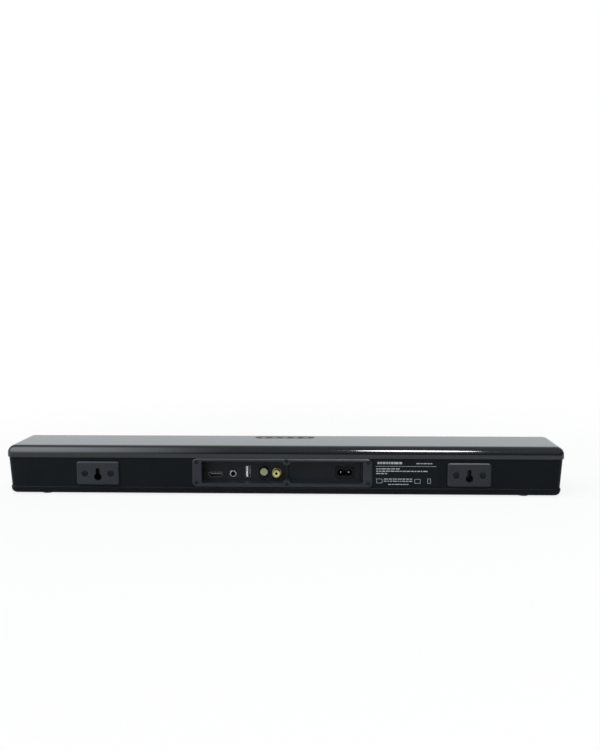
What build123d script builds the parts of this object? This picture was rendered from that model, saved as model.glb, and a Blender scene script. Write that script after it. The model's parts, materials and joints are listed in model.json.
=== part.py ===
"""A compact soundbar with its shells, drive units, boards, sockets and wall brackets.

Frame, in millimetres: X runs along the bar, the grille faces -Y, the sockets and
wall brackets face +Y, and Z is up. The origin is the bottom centre of the whole
bar, so the feet stand on Z = 0. Left and right are the listener's, so left is -X.
"""

import os
from math import radians, tan

from build123d import *

os.makedirs("parts", exist_ok=True)

SIDES = {"left": -1, "right": 1}

# ---------------------------------------------------------------- overall sizes
LENGTH = 603.0
HEIGHT = 54.0
FRONT_Y = -39.0  # front lip of the top cover
REAR_Y = 37.5  # rear lip of the top cover
BRACKET_FACE_Y = 39.0  # what meets the wall
WALL = 2.5
FIT = 0.02  # radial room between a screw shank and its hole
FOOT_H = 1.5  # how far the feet hold the tray off the table

# Top cover
SEAM_Z = 41.5
COVER_CORNER_R = 9.0
COVER_EDGE_R = 8.5
COVER_DEPTH = REAR_Y - FRONT_Y
COVER_MID_Y = (REAR_Y + FRONT_Y) / 2
COVER_CEILING_Z = HEIGHT - WALL

# Rear housing: the rear wall and both ends
REAR_WALL_Y = 36.0
REAR_WALL_IN_Y = REAR_WALL_Y - WALL
HOUSING_TOP_HALF = 300.0
HOUSING_FOOT_HALF = 297.6
HOUSING_FRONT_Y = -36.5
HOUSING_CORNER_R = 7.0
HOUSING_SPLIT_X = 96.2  # the two halves stop behind the rim of the port panel

# Base tray
TRAY_TOP_Z = 9.5
TRAY_HALF = 298.5
TRAY_FRONT_Y = -38.0
TRAY_REAR_Y = 36.9
TRAY_CORNER_R = 8.0
TRAY_EDGE_R = 5.5
FLOOR_Z = FOOT_H + WALL

# Pillars that hold the cover and the tray together
PILLAR_PLACES = [(x, y) for x in (-284, -120, 120, 284) for y in (-23.5, 27.0)]
PILLAR_R = 4.5
PILLAR_LOW_Z = 6.5
PILLAR_HIGH_Z = 48.0
SPIGOT_R = 2.0
WELL_R = 3.3
WELL_TOP_Z = 4.5
SCREW_R = 1.5
SCREW_HEAD_R = 2.8

# Speaker chambers
CHAMBER_WALL_X = 108.0
CHAMBER_WALL_T = 2.5
CHAMBER_WALL_TOP_Z = 51.0

# Front
BAFFLE_Y = -31.0  # front face of the baffle
BAFFLE_T = 2.5
BAFFLE_REAR_Y = BAFFLE_Y + BAFFLE_T
GRILLE_HALF = 293.0
GRILLE_LOW_Z = 10.0
GRILLE_HIGH_Z = 41.0
GRILLE_EDGE_Y = -37.6
GRILLE_CROWN_Y = -38.8
GRILLE_T = 0.8
WINDOW_W = 70.0
WINDOW_H = 13.0
WINDOW_Z = 25.5

# Drive units
DRIVER_X = 190.0
DRIVER_Z = 26.2
FLANGE_W = 108.0
FLANGE_H = 43.0
FLANGE_T = 1.2
FLANGE_Y = BAFFLE_Y - FLANGE_T
ROLL_OUT = (94.0, 32.0)  # outer outline of the surround's roll
ROLL_IN = (83.0, 21.0)  # inner outline of the surround's roll
ROLL_R = 2.75  # radius of the roll's half circle
ROLL_T = 0.6
CONE_GAP = 0.3
COIL_R = 9.0
DRIVER_SCREWS = (48.5, 17.5)

# Port panel on the rear
PANEL_W = 194.0
PANEL_LOW_Z = 10.0
PANEL_HIGH_Z = 41.0
PANEL_T = 2.0
PANEL_CORNER_R = 5.0
PANEL_FACE_Y = REAR_WALL_Y + PANEL_T
BEVEL_DEPTH = 0.7  # bevel round the panel and the brackets
BEVEL_SLOPE = 59  # degrees from the Y axis
RECESS_HALF = 87.0
RECESS_LOW_Z = 14.0
RECESS_HIGH_Z = 38.0
RECESS_FLOOR_Y = 22.0
PANEL_WALL = 1.5
OPENING_W = 2 * (RECESS_HALF + PANEL_WALL) + 0.4  # in the frame behind the panel
OPENING_H = RECESS_HIGH_Z - RECESS_LOW_Z + 2 * PANEL_WALL + 0.4
PANEL_BACK_Y = RECESS_FLOOR_Y - 2.0
PANEL_SCREW_X = 92.5
PANEL_SCREW_ZS = (14.5, 37.0)
LUG_X = -5.0  # middle screws, in lugs that reach into the recess
LUG_ZS = (13.4, 38.4)
LUG_R = 4.4
LUG_HOLE_R = 3.2
PANEL_CORNER_SCREWS = [(side * PANEL_SCREW_X, z) for side in SIDES.values() for z in PANEL_SCREW_ZS]
PANEL_LUG_SCREWS = [(LUG_X, z) for z in LUG_ZS]

# Sockets, all along the main board's rear edge
BOARD_TOP_Z = 17.1
BOARD_T = 1.6
POWER_TOP_Z = FLOOR_Z + 6 + BOARD_T
MAIN_POSTS = [(5, -18), (98, -18), (5, 4), (98, 4)]
POWER_POSTS = [(-99, -18), (-16, -18), (-99, 15), (-16, 15)]
HDMI_X, HDMI_Z = 74.0, 20.2
AUX_X, AUX_Z = 54.5, 21.3
AUX_NOSE_R = 2.5
AUX_NOSE_Y = 22.9
USB_X, USB_Z = 38.3, 23.6
OPTICAL_X, OPTICAL_Z = 21.1, 23.4
CAP_DISC_X, CAP_DISC_Z = 20.1, 24.7
COAX_X, COAX_Z = 6.6, 23.2
INLET_X, INLET_Z = -67.6, 23.1
INLET_PIN_PITCH = 8.6

# Wall brackets
BRACKET_X = 200.0
BRACKET_Z = 24.6
BRACKET_W = 46.0
BRACKET_H = 25.2
KEYHOLE_R = 4.1
KEYHOLE_Z = 20.5
SLOT_R = 2.2
SLOT_TOP_Z = 28.1  # centre of the slot's round end
BRACKET_SCREW_DX = 14.0
BRACKET_SCREW_Z = 24.2
BRACKET_SCREWS = {
    name: [(side * BRACKET_X + dx, BRACKET_SCREW_Z) for dx in (-BRACKET_SCREW_DX, BRACKET_SCREW_DX)]
    for name, side in SIDES.items()
}
CUP_W = 15.0  # cup behind the keyhole, which takes the head of the wall screw
CUP_H = 21.0
CUP_DEPTH = 12.0
CUP_WALL = 1.5

# Buttons in the top
BUTTON_Y = -20.0
BUTTON_PITCH = 12.0
BUTTON_R = 4.2
BUTTON_HOLE_R = 4.5
BUTTON_FLANGE_R = 5.2
BUTTON_NAMES = ("source", "volume_down", "power", "volume_up", "play")
TRIM_SIZE = (67.6, 13.6)
TRIM_FLANGE = (71.0, 16.4)
TRIM_FLANGE_Z = 50.2
BUTTON_BOARD_TOP_Z = 45.0
BUTTON_POSTS = [(-43, BUTTON_Y), (43, BUTTON_Y)]
SWITCH_H = 3.4

pieces = {}  # node name to its finished builder


def facing_front(y):
    """A plane across the bar at depth y. Sketches on it read in X and Z; a positive extrude goes to -Y."""
    return Plane.XZ.offset(-y)


def facing_rear(y):
    """The same plane seen from behind. Sketches on it read in -X and Z; a positive extrude goes to +Y."""
    return Plane(origin=(0, y, 0), x_dir=(-1, 0, 0), z_dir=(0, 1, 0))


# ---------------------------------------------------------------- shells
with BuildPart() as top_cover:
    with BuildSketch(Plane.XY.offset(SEAM_Z)):
        with Locations((0, COVER_MID_Y)):
            RectangleRounded(LENGTH, COVER_DEPTH, COVER_CORNER_R)
    extrude(amount=HEIGHT - SEAM_Z)
    fillet(top_cover.faces().sort_by(Axis.Z)[-1].edges(), COVER_EDGE_R)
    offset(amount=-WALL, openings=top_cover.faces().sort_by(Axis.Z)[0])
    # bosses that the pillars plug into
    with BuildSketch(Plane.XY.offset(PILLAR_HIGH_Z)):
        with Locations(*PILLAR_PLACES):
            Circle(PILLAR_R)
    extrude(amount=COVER_CEILING_Z + 0.5 - PILLAR_HIGH_Z)
    with BuildSketch(Plane.XY.offset(PILLAR_HIGH_Z)):
        with Locations(*PILLAR_PLACES):
            Circle(SPIGOT_R + FIT)
    extrude(amount=3, mode=Mode.SUBTRACT)
    # posts for the button board
    with BuildSketch(Plane.XY.offset(BUTTON_BOARD_TOP_Z)):
        with Locations(*BUTTON_POSTS):
            Circle(3)
    extrude(amount=COVER_CEILING_Z + 0.5 - BUTTON_BOARD_TOP_Z)
    # the slot that holds the button trim
    with BuildSketch(Plane.XY.offset(HEIGHT)):
        with Locations((0, BUTTON_Y)):
            SlotOverall(TRIM_SIZE[0] + 0.2, TRIM_SIZE[1] + 0.2)
    extrude(amount=-WALL, mode=Mode.SUBTRACT)
    # screw holes in those posts
    with BuildSketch(Plane.XY.offset(BUTTON_BOARD_TOP_Z)):
        with Locations(*BUTTON_POSTS):
            Circle(1)
    extrude(amount=5, mode=Mode.SUBTRACT)
pieces["top_cover"] = top_cover

for side_name, side in SIDES.items():
    with BuildPart() as rear_housing:
        # outside, with an end that leans in towards the tray
        with BuildSketch(facing_front(REAR_WALL_Y)):
            with BuildLine():
                Polyline(
                    (side * HOUSING_SPLIT_X, TRAY_TOP_Z),
                    (side * HOUSING_FOOT_HALF, TRAY_TOP_Z),
                    (side * HOUSING_TOP_HALF, SEAM_Z),
                    (side * HOUSING_SPLIT_X, SEAM_Z),
                    close=True,
                )
            make_face()
        extrude(amount=REAR_WALL_Y - HOUSING_FRONT_Y)
        standing = rear_housing.edges().filter_by(lambda e: abs(e.tangent_at(0).Z) > 0.9)
        outer = standing.filter_by(lambda e: abs(e.center().X) > 2 * HOUSING_SPLIT_X)
        fillet(outer.sort_by(Axis.Y)[-1], HOUSING_CORNER_R)
        # inside
        with BuildSketch(facing_front(REAR_WALL_IN_Y)):
            with BuildLine():
                Polyline(
                    (side * (HOUSING_SPLIT_X - 1), TRAY_TOP_Z),
                    (side * (HOUSING_FOOT_HALF - WALL), TRAY_TOP_Z),
                    (side * (HOUSING_TOP_HALF - WALL), SEAM_Z),
                    (side * (HOUSING_SPLIT_X - 1), SEAM_Z),
                    close=True,
                )
            make_face()
        extrude(amount=REAR_WALL_IN_Y - HOUSING_FRONT_Y, mode=Mode.SUBTRACT)
        # bosses and holes of the bracket screws
        with BuildSketch(facing_front(REAR_WALL_IN_Y)):
            with Locations(*BRACKET_SCREWS[side_name]):
                Circle(3.2)
        extrude(amount=7)
        with BuildSketch(facing_front(REAR_WALL_Y)):
            with Locations(*BRACKET_SCREWS[side_name]):
                Circle(SCREW_R)
        extrude(amount=9, mode=Mode.SUBTRACT)
        # opening for the cup of the bracket
        with BuildSketch(facing_front(REAR_WALL_Y)):
            with Locations((side * BRACKET_X, BRACKET_Z)):
                Rectangle(CUP_W + 0.4, CUP_H + 0.4)
        extrude(amount=WALL, mode=Mode.SUBTRACT)
        # lip that the baffle rests against
        with BuildSketch(facing_front(-26)):
            with BuildLine():
                Polyline(
                    (side * 290.8, TRAY_TOP_Z),
                    (side * (HOUSING_FOOT_HALF - 1.8), TRAY_TOP_Z),
                    (side * (HOUSING_TOP_HALF - 1.7), SEAM_Z),
                    (side * 290.8, SEAM_Z),
                    close=True,
                )
            make_face()
        extrude(amount=2)
    pieces[f"rear_housing_{side_name}"] = rear_housing

with BuildPart() as panel_frame:
    # joins the two halves of the housing behind the port panel
    frame_half = HOUSING_SPLIT_X - 0.2
    with BuildSketch(facing_front(REAR_WALL_Y)):
        with Locations((0, (TRAY_TOP_Z + SEAM_Z) / 2)):
            Rectangle(2 * frame_half, SEAM_Z - TRAY_TOP_Z)
    extrude(amount=WALL)
    with BuildSketch(facing_front(REAR_WALL_IN_Y)):
        with Locations((0, (TRAY_TOP_Z + SEAM_Z) / 2)):
            Rectangle(2 * (frame_half + 8), SEAM_Z - TRAY_TOP_Z - 2)
            Rectangle(2 * (frame_half - 4), SEAM_Z - TRAY_TOP_Z, mode=Mode.SUBTRACT)
    extrude(amount=2)
    # opening for the recess
    with BuildSketch(facing_front(REAR_WALL_Y)):
        with Locations((0, (RECESS_LOW_Z + RECESS_HIGH_Z) / 2)):
            Rectangle(OPENING_W, OPENING_H)
    extrude(amount=WALL, mode=Mode.SUBTRACT)
    # screw bosses of the port panel: four outside the recess, two inside its lugs
    with BuildSketch(facing_front(REAR_WALL_Y)):
        with Locations(*PANEL_CORNER_SCREWS):
            Circle(3.2)
        with Locations(*PANEL_LUG_SCREWS):
            Circle(LUG_HOLE_R - 0.2)
    extrude(amount=10)
    with BuildSketch(facing_front(REAR_WALL_Y)):
        with Locations(*PANEL_CORNER_SCREWS, *PANEL_LUG_SCREWS):
            Circle(SCREW_R)
    extrude(amount=9, mode=Mode.SUBTRACT)
pieces["panel_frame"] = panel_frame

with BuildPart() as base_tray:
    with BuildSketch(Plane.XY.offset(FOOT_H)):
        with Locations((0, (TRAY_FRONT_Y + TRAY_REAR_Y) / 2)):
            RectangleRounded(2 * TRAY_HALF, TRAY_REAR_Y - TRAY_FRONT_Y, TRAY_CORNER_R)
    extrude(amount=TRAY_TOP_Z - FOOT_H)
    fillet(base_tray.faces().sort_by(Axis.Z)[0].edges(), TRAY_EDGE_R)
    offset(amount=-WALL, openings=base_tray.faces().sort_by(Axis.Z)[-1])
    fillet(base_tray.faces().sort_by(Axis.Z)[-1].outer_wire().edges(), 1)
    # pads that the pillars stand on
    with BuildSketch(Plane.XY.offset(FLOOR_Z - 0.5)):
        with Locations(*PILLAR_PLACES):
            Circle(PILLAR_R + 0.4)
    extrude(amount=PILLAR_LOW_Z - FLOOR_Z + 0.5)
    # board posts
    with BuildSketch(Plane.XY.offset(FLOOR_Z - 0.5)):
        with Locations(*MAIN_POSTS):
            Circle(3)
    extrude(amount=BOARD_TOP_Z - BOARD_T - FLOOR_Z + 0.5)
    with BuildSketch(Plane.XY.offset(FLOOR_Z - 0.5)):
        with Locations(*POWER_POSTS):
            Circle(3)
    extrude(amount=POWER_TOP_Z - BOARD_T - FLOOR_Z + 0.5)
    # wells for the case screws, and holes for the board screws
    with BuildSketch(Plane.XY.offset(FOOT_H)):
        with Locations(*PILLAR_PLACES):
            Circle(WELL_R)
    extrude(amount=WELL_TOP_Z - FOOT_H, mode=Mode.SUBTRACT)
    with BuildSketch(Plane.XY.offset(WELL_TOP_Z)):
        with Locations(*PILLAR_PLACES):
            Circle(SCREW_R + 0.1)
    extrude(amount=PILLAR_LOW_Z - WELL_TOP_Z, mode=Mode.SUBTRACT)
    with BuildSketch(Plane.XY.offset(FLOOR_Z)):
        with Locations(*MAIN_POSTS, *POWER_POSTS):
            Circle(1)
    extrude(amount=BOARD_TOP_Z, mode=Mode.SUBTRACT)
    # ribs that keep the baffle upright
    with BuildSketch(Plane.XY.offset(FLOOR_Z - 0.5)):
        with Locations(*[(x, BAFFLE_REAR_Y + 0.95) for x in (-70, 0, 70)]):
            Rectangle(40, 1.5)
    extrude(amount=5)
    # seats for the feet
    with BuildSketch(Plane.XY.offset(FOOT_H)):
        with GridLocations(520, 46, 2, 2):
            Circle(6.6)
    extrude(amount=0.5, mode=Mode.SUBTRACT)
pieces["base_tray"] = base_tray

with BuildPart() as case_pillars:
    with BuildSketch(Plane.XY.offset(PILLAR_LOW_Z)):
        with Locations(*PILLAR_PLACES):
            Circle(PILLAR_R)
    extrude(amount=PILLAR_HIGH_Z - PILLAR_LOW_Z)
    with BuildSketch(Plane.XY.offset(PILLAR_HIGH_Z)):
        with Locations(*PILLAR_PLACES):
            Circle(SPIGOT_R)
    extrude(amount=2.8)
    with BuildSketch(Plane.XY.offset(PILLAR_LOW_Z)):
        with Locations(*PILLAR_PLACES):
            Circle(SCREW_R)
    extrude(amount=14, mode=Mode.SUBTRACT)
pieces["case_pillars"] = case_pillars

with BuildPart() as chamber_walls:
    # plates that close off the speaker chambers, each with a notch for the lead
    for side in SIDES.values():
        with BuildSketch(Plane.YZ.offset(side * CHAMBER_WALL_X)):
            with BuildLine():
                Polyline(
                    (-28.1, FLOOR_Z),
                    (31, FLOOR_Z),
                    (32.5, FLOOR_Z + 2),
                    (32.5, 45),
                    (27, CHAMBER_WALL_TOP_Z),
                    (-28.1, CHAMBER_WALL_TOP_Z),
                    close=True,
                )
            make_face()
            with Locations((0, FLOOR_Z + 4)):
                Rectangle(7, 8, mode=Mode.SUBTRACT)
        extrude(amount=CHAMBER_WALL_T / 2, both=True)
pieces["chamber_walls"] = chamber_walls

with BuildPart() as front_baffle:
    with BuildSketch(facing_front(BAFFLE_REAR_Y)):
        with Locations((0, (FLOOR_Z + 0.2 + COVER_CEILING_Z - 0.8) / 2)):
            Rectangle(2 * 291, COVER_CEILING_Z - FLOOR_Z - 1)
        with Locations(*[(side * DRIVER_X, DRIVER_Z) for side in SIDES.values()]):
            SlotOverall(97.6, 35.6, mode=Mode.SUBTRACT)
        with Locations((0, WINDOW_Z)):
            Rectangle(60, 13, mode=Mode.SUBTRACT)
        for side in SIDES.values():
            with Locations((side * DRIVER_X, DRIVER_Z)):
                with GridLocations(2 * DRIVER_SCREWS[0], 2 * DRIVER_SCREWS[1], 2, 2):
                    Circle(SCREW_R, mode=Mode.SUBTRACT)
    extrude(amount=BAFFLE_T)
    # chamfered upper corners clear the cover's rounded ceiling
    chamfer(front_baffle.edges().filter_by(Axis.Y).group_by(Axis.Z)[-1], 4)
    # lower corners clear the tray's rounded edge
    chamfer(front_baffle.edges().filter_by(Axis.Y).group_by(Axis.Z)[0], 6)
pieces["front_baffle"] = front_baffle

with BuildPart() as front_grille:
    # bowed sheet with a flange along the top and the bottom edge
    middle_z = (GRILLE_LOW_Z + GRILLE_HIGH_Z) / 2
    with BuildSketch(Plane.YZ.offset(-GRILLE_HALF)):
        with BuildLine():
            bow = ThreePointArc(
                (GRILLE_EDGE_Y, GRILLE_LOW_Z), (GRILLE_CROWN_Y, middle_z), (GRILLE_EDGE_Y, GRILLE_HIGH_Z)
            )
            Polyline(
                bow @ 1,
                (BAFFLE_Y, GRILLE_HIGH_Z),
                (BAFFLE_Y, GRILLE_HIGH_Z - GRILLE_T),
                (GRILLE_EDGE_Y + GRILLE_T, GRILLE_HIGH_Z - GRILLE_T),
            )
            ThreePointArc(
                (GRILLE_EDGE_Y + GRILLE_T, GRILLE_HIGH_Z - GRILLE_T),
                (GRILLE_CROWN_Y + GRILLE_T, middle_z),
                (GRILLE_EDGE_Y + GRILLE_T, GRILLE_LOW_Z + GRILLE_T),
            )
            Polyline(
                (GRILLE_EDGE_Y + GRILLE_T, GRILLE_LOW_Z + GRILLE_T),
                (BAFFLE_Y, GRILLE_LOW_Z + GRILLE_T),
                (BAFFLE_Y, GRILLE_LOW_Z),
                bow @ 0,
            )
        make_face()
    extrude(amount=2 * GRILLE_HALF)
    # opening for the display window
    with BuildSketch(facing_front(GRILLE_EDGE_Y + GRILLE_T)):
        with Locations((0, WINDOW_Z)):
            SlotOverall(WINDOW_W + 0.4, WINDOW_H + 0.4)
    extrude(amount=4, mode=Mode.SUBTRACT)
    # the flanges step back where the drivers' frames stand
    for side in SIDES.values():
        with BuildSketch(facing_front(BAFFLE_Y)):
            with Locations((side * DRIVER_X, DRIVER_Z)):
                Rectangle(FLANGE_W + 1, 60)
        extrude(amount=4.8, mode=Mode.SUBTRACT)
pieces["front_grille"] = front_grille

with BuildPart() as display_window:
    with BuildSketch(facing_front(-36.4)):
        with Locations((0, WINDOW_Z)):
            SlotOverall(WINDOW_W, WINDOW_H)
    extrude(amount=-36.4 - FRONT_Y)
    fillet(display_window.faces().sort_by(Axis.Y)[0].edges(), 0.6)
pieces["display_window"] = display_window

# ---------------------------------------------------------------- port panel
recess_mid_z = (RECESS_LOW_Z + RECESS_HIGH_Z) / 2
recess_h = RECESS_HIGH_Z - RECESS_LOW_Z
with BuildPart() as port_panel:
    with BuildSketch(facing_front(PANEL_FACE_Y - BEVEL_DEPTH)):
        with Locations((0, (PANEL_LOW_Z + PANEL_HIGH_Z) / 2)):
            RectangleRounded(PANEL_W, PANEL_HIGH_Z - PANEL_LOW_Z, PANEL_CORNER_R)
    extrude(amount=PANEL_T - BEVEL_DEPTH)
    with BuildSketch(facing_rear(PANEL_FACE_Y - BEVEL_DEPTH)):
        with Locations((0, (PANEL_LOW_Z + PANEL_HIGH_Z) / 2)):
            RectangleRounded(PANEL_W, PANEL_HIGH_Z - PANEL_LOW_Z, PANEL_CORNER_R)
    extrude(amount=BEVEL_DEPTH, taper=BEVEL_SLOPE)
    with BuildSketch(facing_front(REAR_WALL_Y)):
        with Locations((0, recess_mid_z)):
            Rectangle(2 * (RECESS_HALF + PANEL_WALL), recess_h + 2 * PANEL_WALL)
    extrude(amount=REAR_WALL_Y - RECESS_FLOOR_Y)
    with BuildSketch(facing_front(PANEL_FACE_Y)):
        with Locations((0, recess_mid_z)):
            RectangleRounded(2 * RECESS_HALF, recess_h, 1.5)
    extrude(amount=PANEL_FACE_Y - RECESS_FLOOR_Y, taper=2, mode=Mode.SUBTRACT)
    # lugs of the two middle screws
    with BuildSketch(facing_front(PANEL_FACE_Y - 0.3)):
        with Locations(*PANEL_LUG_SCREWS):
            Circle(LUG_R)
        with Locations((LUG_X, recess_mid_z)):
            Rectangle(2 * LUG_R + 2, recess_h + 0.5, mode=Mode.INTERSECT)
    extrude(amount=PANEL_FACE_Y - 0.3 - RECESS_FLOOR_Y)
    # hollows in the lugs, for the housing's bosses
    with BuildSketch(facing_front(REAR_WALL_Y)):
        with Locations(*PANEL_LUG_SCREWS):
            Circle(LUG_HOLE_R)
        with Locations((LUG_X, LUG_ZS[0] - 4), (LUG_X, LUG_ZS[1] + 4)):
            Rectangle(2 * LUG_HOLE_R, 8)
    extrude(amount=10.2, mode=Mode.SUBTRACT)
    # holes and counterbores of the six screws
    with BuildSketch(facing_front(PANEL_FACE_Y)):
        with Locations(*PANEL_CORNER_SCREWS, *PANEL_LUG_SCREWS):
            Circle(SCREW_R + 0.1)
    extrude(amount=PANEL_T, mode=Mode.SUBTRACT)
    with BuildSketch(facing_front(PANEL_FACE_Y)):
        with Locations(*PANEL_CORNER_SCREWS, *PANEL_LUG_SCREWS):
            Circle(2.3)
    extrude(amount=0.7, mode=Mode.SUBTRACT)
pieces["port_panel"] = port_panel

with BuildPart() as socket_plate:
    # floor of the recess, with an opening for each socket
    with BuildSketch(facing_front(RECESS_FLOOR_Y)):
        with Locations((0, recess_mid_z)):
            Rectangle(2 * (RECESS_HALF + PANEL_WALL), recess_h + 2 * PANEL_WALL)
    extrude(amount=RECESS_FLOOR_Y - PANEL_BACK_Y)
    with BuildSketch(facing_front(RECESS_FLOOR_Y)):
        with Locations((HDMI_X, HDMI_Z)):
            RectangleRounded(15.4, 6.2, 1)
        with Locations((AUX_X, AUX_Z)):
            Circle(4.1)
        with Locations((USB_X, USB_Z)):
            RectangleRounded(6.4, 13.6, 0.5)
        with Locations((OPTICAL_X, OPTICAL_Z)):
            Rectangle(10.0, 11.2)
        with Locations((COAX_X, COAX_Z)):
            Circle(4.8)
        with Locations((INLET_X, INLET_Z)):
            RectangleRounded(20.4, 13.0, 2)
    extrude(amount=RECESS_FLOOR_Y - PANEL_BACK_Y, mode=Mode.SUBTRACT)
    # low rib between the two compartments
    with BuildSketch(facing_front(RECESS_FLOOR_Y + 2)):
        with Locations((LUG_X, (LUG_ZS[0] + LUG_ZS[1]) / 2)):
            Rectangle(1.6, 16.0)
    extrude(amount=2)
pieces["socket_plate"] = socket_plate

with BuildPart() as port_panel_screws:
    with BuildSketch(facing_front(PANEL_FACE_Y)):
        with Locations(*PANEL_CORNER_SCREWS, *PANEL_LUG_SCREWS):
            Circle(2.2)
    extrude(amount=0.7)
    with BuildSketch(facing_front(PANEL_FACE_Y)):
        with Locations(*PANEL_CORNER_SCREWS, *PANEL_LUG_SCREWS):
            Circle(SCREW_R - FIT)
    extrude(amount=9)
    with BuildSketch(facing_front(PANEL_FACE_Y)):
        with Locations(*PANEL_CORNER_SCREWS, *PANEL_LUG_SCREWS):
            Rectangle(2.4, 0.5)
            Rectangle(0.5, 2.4)
    extrude(amount=0.5, mode=Mode.SUBTRACT)

# ---------------------------------------------------------------- sockets
with BuildPart() as hdmi_port:
    # pressed shell with the lower corners cut, and the contact tongue inside it
    with BuildSketch(facing_front(RECESS_FLOOR_Y + 0.3)):
        with Locations((HDMI_X, HDMI_Z)):
            Rectangle(15.0, 5.6)
    extrude(amount=12)
    lower = hdmi_port.edges().filter_by(Axis.Y).group_by(Axis.Z)[0]
    chamfer(lower, 1.6)
    fillet(hdmi_port.edges().filter_by(Axis.Y), 0.5)
    offset(amount=-0.4, openings=hdmi_port.faces().sort_by(Axis.Y)[-1])
    with BuildSketch(facing_front(RECESS_FLOOR_Y - 2.5)):
        with Locations((HDMI_X, HDMI_Z + 0.4)):
            Rectangle(11.6, 1.1)
    extrude(amount=9)
pieces["hdmi_port"] = hdmi_port

with BuildPart() as aux_jack:
    with BuildSketch(facing_front(PANEL_BACK_Y)):
        with Locations((AUX_X, (BOARD_TOP_Z + AUX_Z + 4.6) / 2)):
            Rectangle(9, AUX_Z + 4.6 - BOARD_TOP_Z)
    extrude(amount=12.5)
    # nose inside the metal ring, then the bore
    with BuildSketch(facing_front(AUX_NOSE_Y)):
        with Locations((AUX_X, AUX_Z)):
            Circle(AUX_NOSE_R)
    extrude(amount=AUX_NOSE_Y - PANEL_BACK_Y)
    with BuildSketch(facing_front(AUX_NOSE_Y)):
        with Locations((AUX_X, AUX_Z)):
            Circle(1.8)
    extrude(amount=AUX_NOSE_Y - PANEL_BACK_Y + 11, mode=Mode.SUBTRACT)
pieces["aux_jack"] = aux_jack

with BuildPart() as aux_ring:
    with BuildSketch(facing_front(RECESS_FLOOR_Y + 1.4)):
        with Locations((AUX_X, AUX_Z)):
            Circle(3.9)
            Circle(AUX_NOSE_R + FIT, mode=Mode.SUBTRACT)
    extrude(amount=RECESS_FLOOR_Y + 1.4 - PANEL_BACK_Y)
    rim = aux_ring.faces().sort_by(Axis.Y)[-1].edges().sort_by(SortBy.LENGTH)
    fillet(rim[-1], 0.5)
    chamfer(rim[0], 0.3)
pieces["aux_ring"] = aux_ring

with BuildPart() as usb_shell:
    with BuildSketch(facing_front(RECESS_FLOOR_Y + 0.3)):
        with Locations((USB_X, USB_Z)):
            Rectangle(6.0, 13.0)
    extrude(amount=14.5)
    fillet(usb_shell.edges().filter_by(Axis.Y), 0.5)
    offset(amount=-0.35, openings=usb_shell.faces().sort_by(Axis.Y)[-1])
pieces["usb_shell"] = usb_shell

with BuildPart() as usb_tongue:
    with BuildSketch(facing_front(RECESS_FLOOR_Y - 0.8)):
        with Locations((USB_X + 1.0, USB_Z)):
            Rectangle(1.9, 11.1)
    extrude(amount=9)
    with BuildSketch(facing_front(RECESS_FLOOR_Y - 9.8)):
        with Locations((USB_X, USB_Z)):
            Rectangle(5.2, 12.2)
    extrude(amount=3.9)
pieces["usb_tongue"] = usb_tongue

optical_low_z = BOARD_TOP_Z
with BuildPart() as optical_port:
    with BuildSketch(facing_front(RECESS_FLOOR_Y + 0.3)):
        with Locations((OPTICAL_X, OPTICAL_Z)):
            Rectangle(9.7, 10.8)
    extrude(amount=14)
    with BuildSketch(facing_front(PANEL_BACK_Y)):
        with Locations((OPTICAL_X, (optical_low_z + OPTICAL_Z) / 2)):
            Rectangle(9.7, OPTICAL_Z - optical_low_z)
    extrude(amount=11)
    with BuildSketch(facing_front(RECESS_FLOOR_Y + 0.3)):
        with Locations((OPTICAL_X, OPTICAL_Z)):
            RectangleRounded(7.4, 8.2, 1.2)
    extrude(amount=2.3, mode=Mode.SUBTRACT)
    with BuildSketch(facing_front(RECESS_FLOOR_Y)):
        with Locations((OPTICAL_X, OPTICAL_Z)):
            Circle(2.5)
    extrude(amount=10, mode=Mode.SUBTRACT)
pieces["optical_port"] = optical_port

with BuildPart() as optical_cap:
    # plug, neck and the round disc that fingers pull
    with BuildSketch(facing_front(RECESS_FLOOR_Y + 6)):
        with Locations((OPTICAL_X, OPTICAL_Z)):
            Circle(2.2)
    extrude(amount=13)
    with BuildSketch(facing_front(RECESS_FLOOR_Y + 7.6)):
        with Locations((CAP_DISC_X, CAP_DISC_Z)):
            Circle(4.1)
    extrude(amount=1.8)
    fillet(optical_cap.faces().sort_by(Axis.Y)[-1].edges(), 0.5)
pieces["optical_cap"] = optical_cap

with BuildPart() as coax_body:
    with BuildSketch(facing_front(PANEL_BACK_Y)):
        with Locations((COAX_X, (BOARD_TOP_Z + COAX_Z + 5.4) / 2)):
            Rectangle(10.4, COAX_Z + 5.4 - BOARD_TOP_Z)
    extrude(amount=12)
    with BuildSketch(facing_front(RECESS_FLOOR_Y + 8.2)):
        with Locations((COAX_X, COAX_Z)):
            Circle(3.5)
    extrude(amount=RECESS_FLOOR_Y + 8.2 - PANEL_BACK_Y)
    with BuildSketch(facing_front(RECESS_FLOOR_Y + 8.2)):
        with Locations((COAX_X, COAX_Z)):
            Circle(1.65)
    extrude(amount=14, mode=Mode.SUBTRACT)
pieces["coax_body"] = coax_body

with BuildPart() as coax_barrel:
    with BuildSketch(facing_front(RECESS_FLOOR_Y + 9)):
        with Locations((COAX_X, COAX_Z)):
            Circle(4.15)
            Circle(3.55, mode=Mode.SUBTRACT)
    extrude(amount=RECESS_FLOOR_Y + 9 - PANEL_BACK_Y)
    with BuildSketch(facing_front(RECESS_FLOOR_Y + 0.8)):
        with Locations((COAX_X, COAX_Z)):
            Circle(4.75)
            Circle(4.0, mode=Mode.SUBTRACT)
    extrude(amount=0.8)
pieces["coax_barrel"] = coax_barrel

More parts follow.
